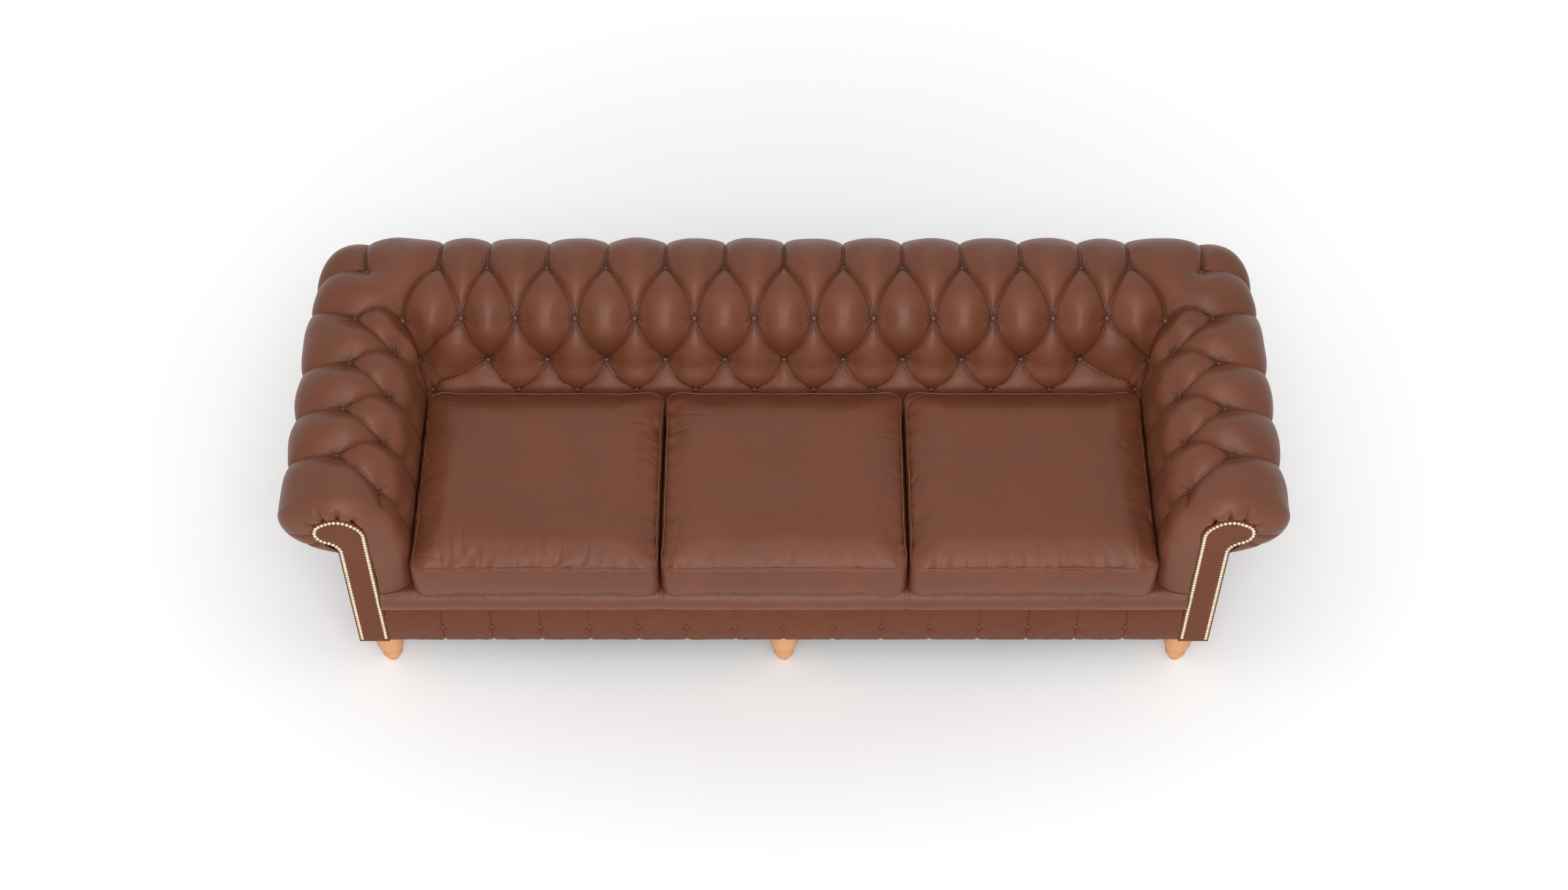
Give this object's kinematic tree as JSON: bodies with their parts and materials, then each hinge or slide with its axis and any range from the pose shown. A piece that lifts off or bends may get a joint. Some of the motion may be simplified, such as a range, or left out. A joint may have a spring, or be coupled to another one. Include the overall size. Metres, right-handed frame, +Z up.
{
  "type": "chesterfield sofa",
  "caption": "Low rolled-arm sofa with deep-buttoned leather arms and back at one height, loose box seat cushions, nail-edged facings, pleated front border and turned wooden feet.",
  "frame": {"origin": "on the floor, under the middle of the sofa's overall box", "axes": "+X along the sofa to the right of someone facing its front, -Y out of the front, +Z up"},
  "size_m": [2.344, 0.9072, 0.6802],
  "materials": {
    "leather": "smooth semi-gloss dark brown leather, lightly creased",
    "foot_wood": "turned light orange-brown wood, satin",
    "nail_brass": "pale aged brass dome nails",
    "timber": "planed hardwood, unfinished",
    "steel": "plain drawn and pressed steel",
    "foam": "seat foam and fibre padding",
    "hessian": "coarse woven jute",
    "black_cloth": "thin non-woven underlining"
  },
  "bodies": {
    "sofa_frame": {"arm_buttons_left": "leather", "arm_buttons_right": "leather", "arm_leather_left": "leather", "arm_leather_right": "leather", "arm_padding_left": "foam", "arm_padding_right": "foam", "arm_post_left": "timber", "arm_post_right": "timber", "arm_tack_rail_left": "timber", "arm_tack_rail_right": "timber", "arm_top_rail_left": "timber", "arm_top_rail_right": "timber", "back_buttons": "leather", "back_leather": "leather", "back_padding": "foam", "back_seat_rail": "timber", "back_tack_rail": "timber", "back_top_rail": "timber", "back_uprights": "timber", "border_buttons": "leather", "corner_blocks": "timber", "deck_cover": "leather", "deck_padding": "foam", "dust_cover": "black_cloth", "facing_board_left": "timber", "facing_board_right": "timber", "facing_leather_left": "leather", "facing_leather_right": "leather", "facing_nails_left": "nail_brass", "facing_nails_right": "nail_brass", "foot_bolts": "steel", "foot_front_left": "foot_wood", "foot_front_middle": "foot_wood", "foot_front_right": "foot_wood", "foot_inserts": "steel", "foot_rear_left": "foot_wood", "foot_rear_middle": "foot_wood", "foot_rear_right": "foot_wood", "front_border": "leather", "front_seat_rail": "timber", "lip_roll": "leather", "outer_arm_panel_left": "leather", "outer_arm_panel_right": "leather", "outer_back_panel": "leather", "rear_post_left": "timber", "rear_post_right": "timber", "seat_springs": "steel", "seat_stretcher_left": "timber", "seat_stretcher_right": "timber", "side_seat_rail_left": "timber", "side_seat_rail_right": "timber", "spring_clips": "steel", "spring_hessian": "hessian"},
    "cushion_left": {"cushion_cover_left": "leather", "cushion_core_left": "foam"},
    "cushion_middle": {"cushion_cover_middle": "leather", "cushion_core_middle": "foam"},
    "cushion_right": {"cushion_cover_right": "leather", "cushion_core_right": "foam"}
  },
  "joints": [
    {"name": "cushion_left_lift", "type": "slide", "parent": "sofa_frame", "child": "cushion_left", "axis": [0, 0, 1], "range_m": [0, 0.45]},
    {"name": "cushion_middle_lift", "type": "slide", "parent": "sofa_frame", "child": "cushion_middle", "axis": [0, 0, 1], "range_m": [0, 0.45]},
    {"name": "cushion_right_lift", "type": "slide", "parent": "sofa_frame", "child": "cushion_right", "axis": [0, 0, 1], "range_m": [0, 0.45]}
  ]
}
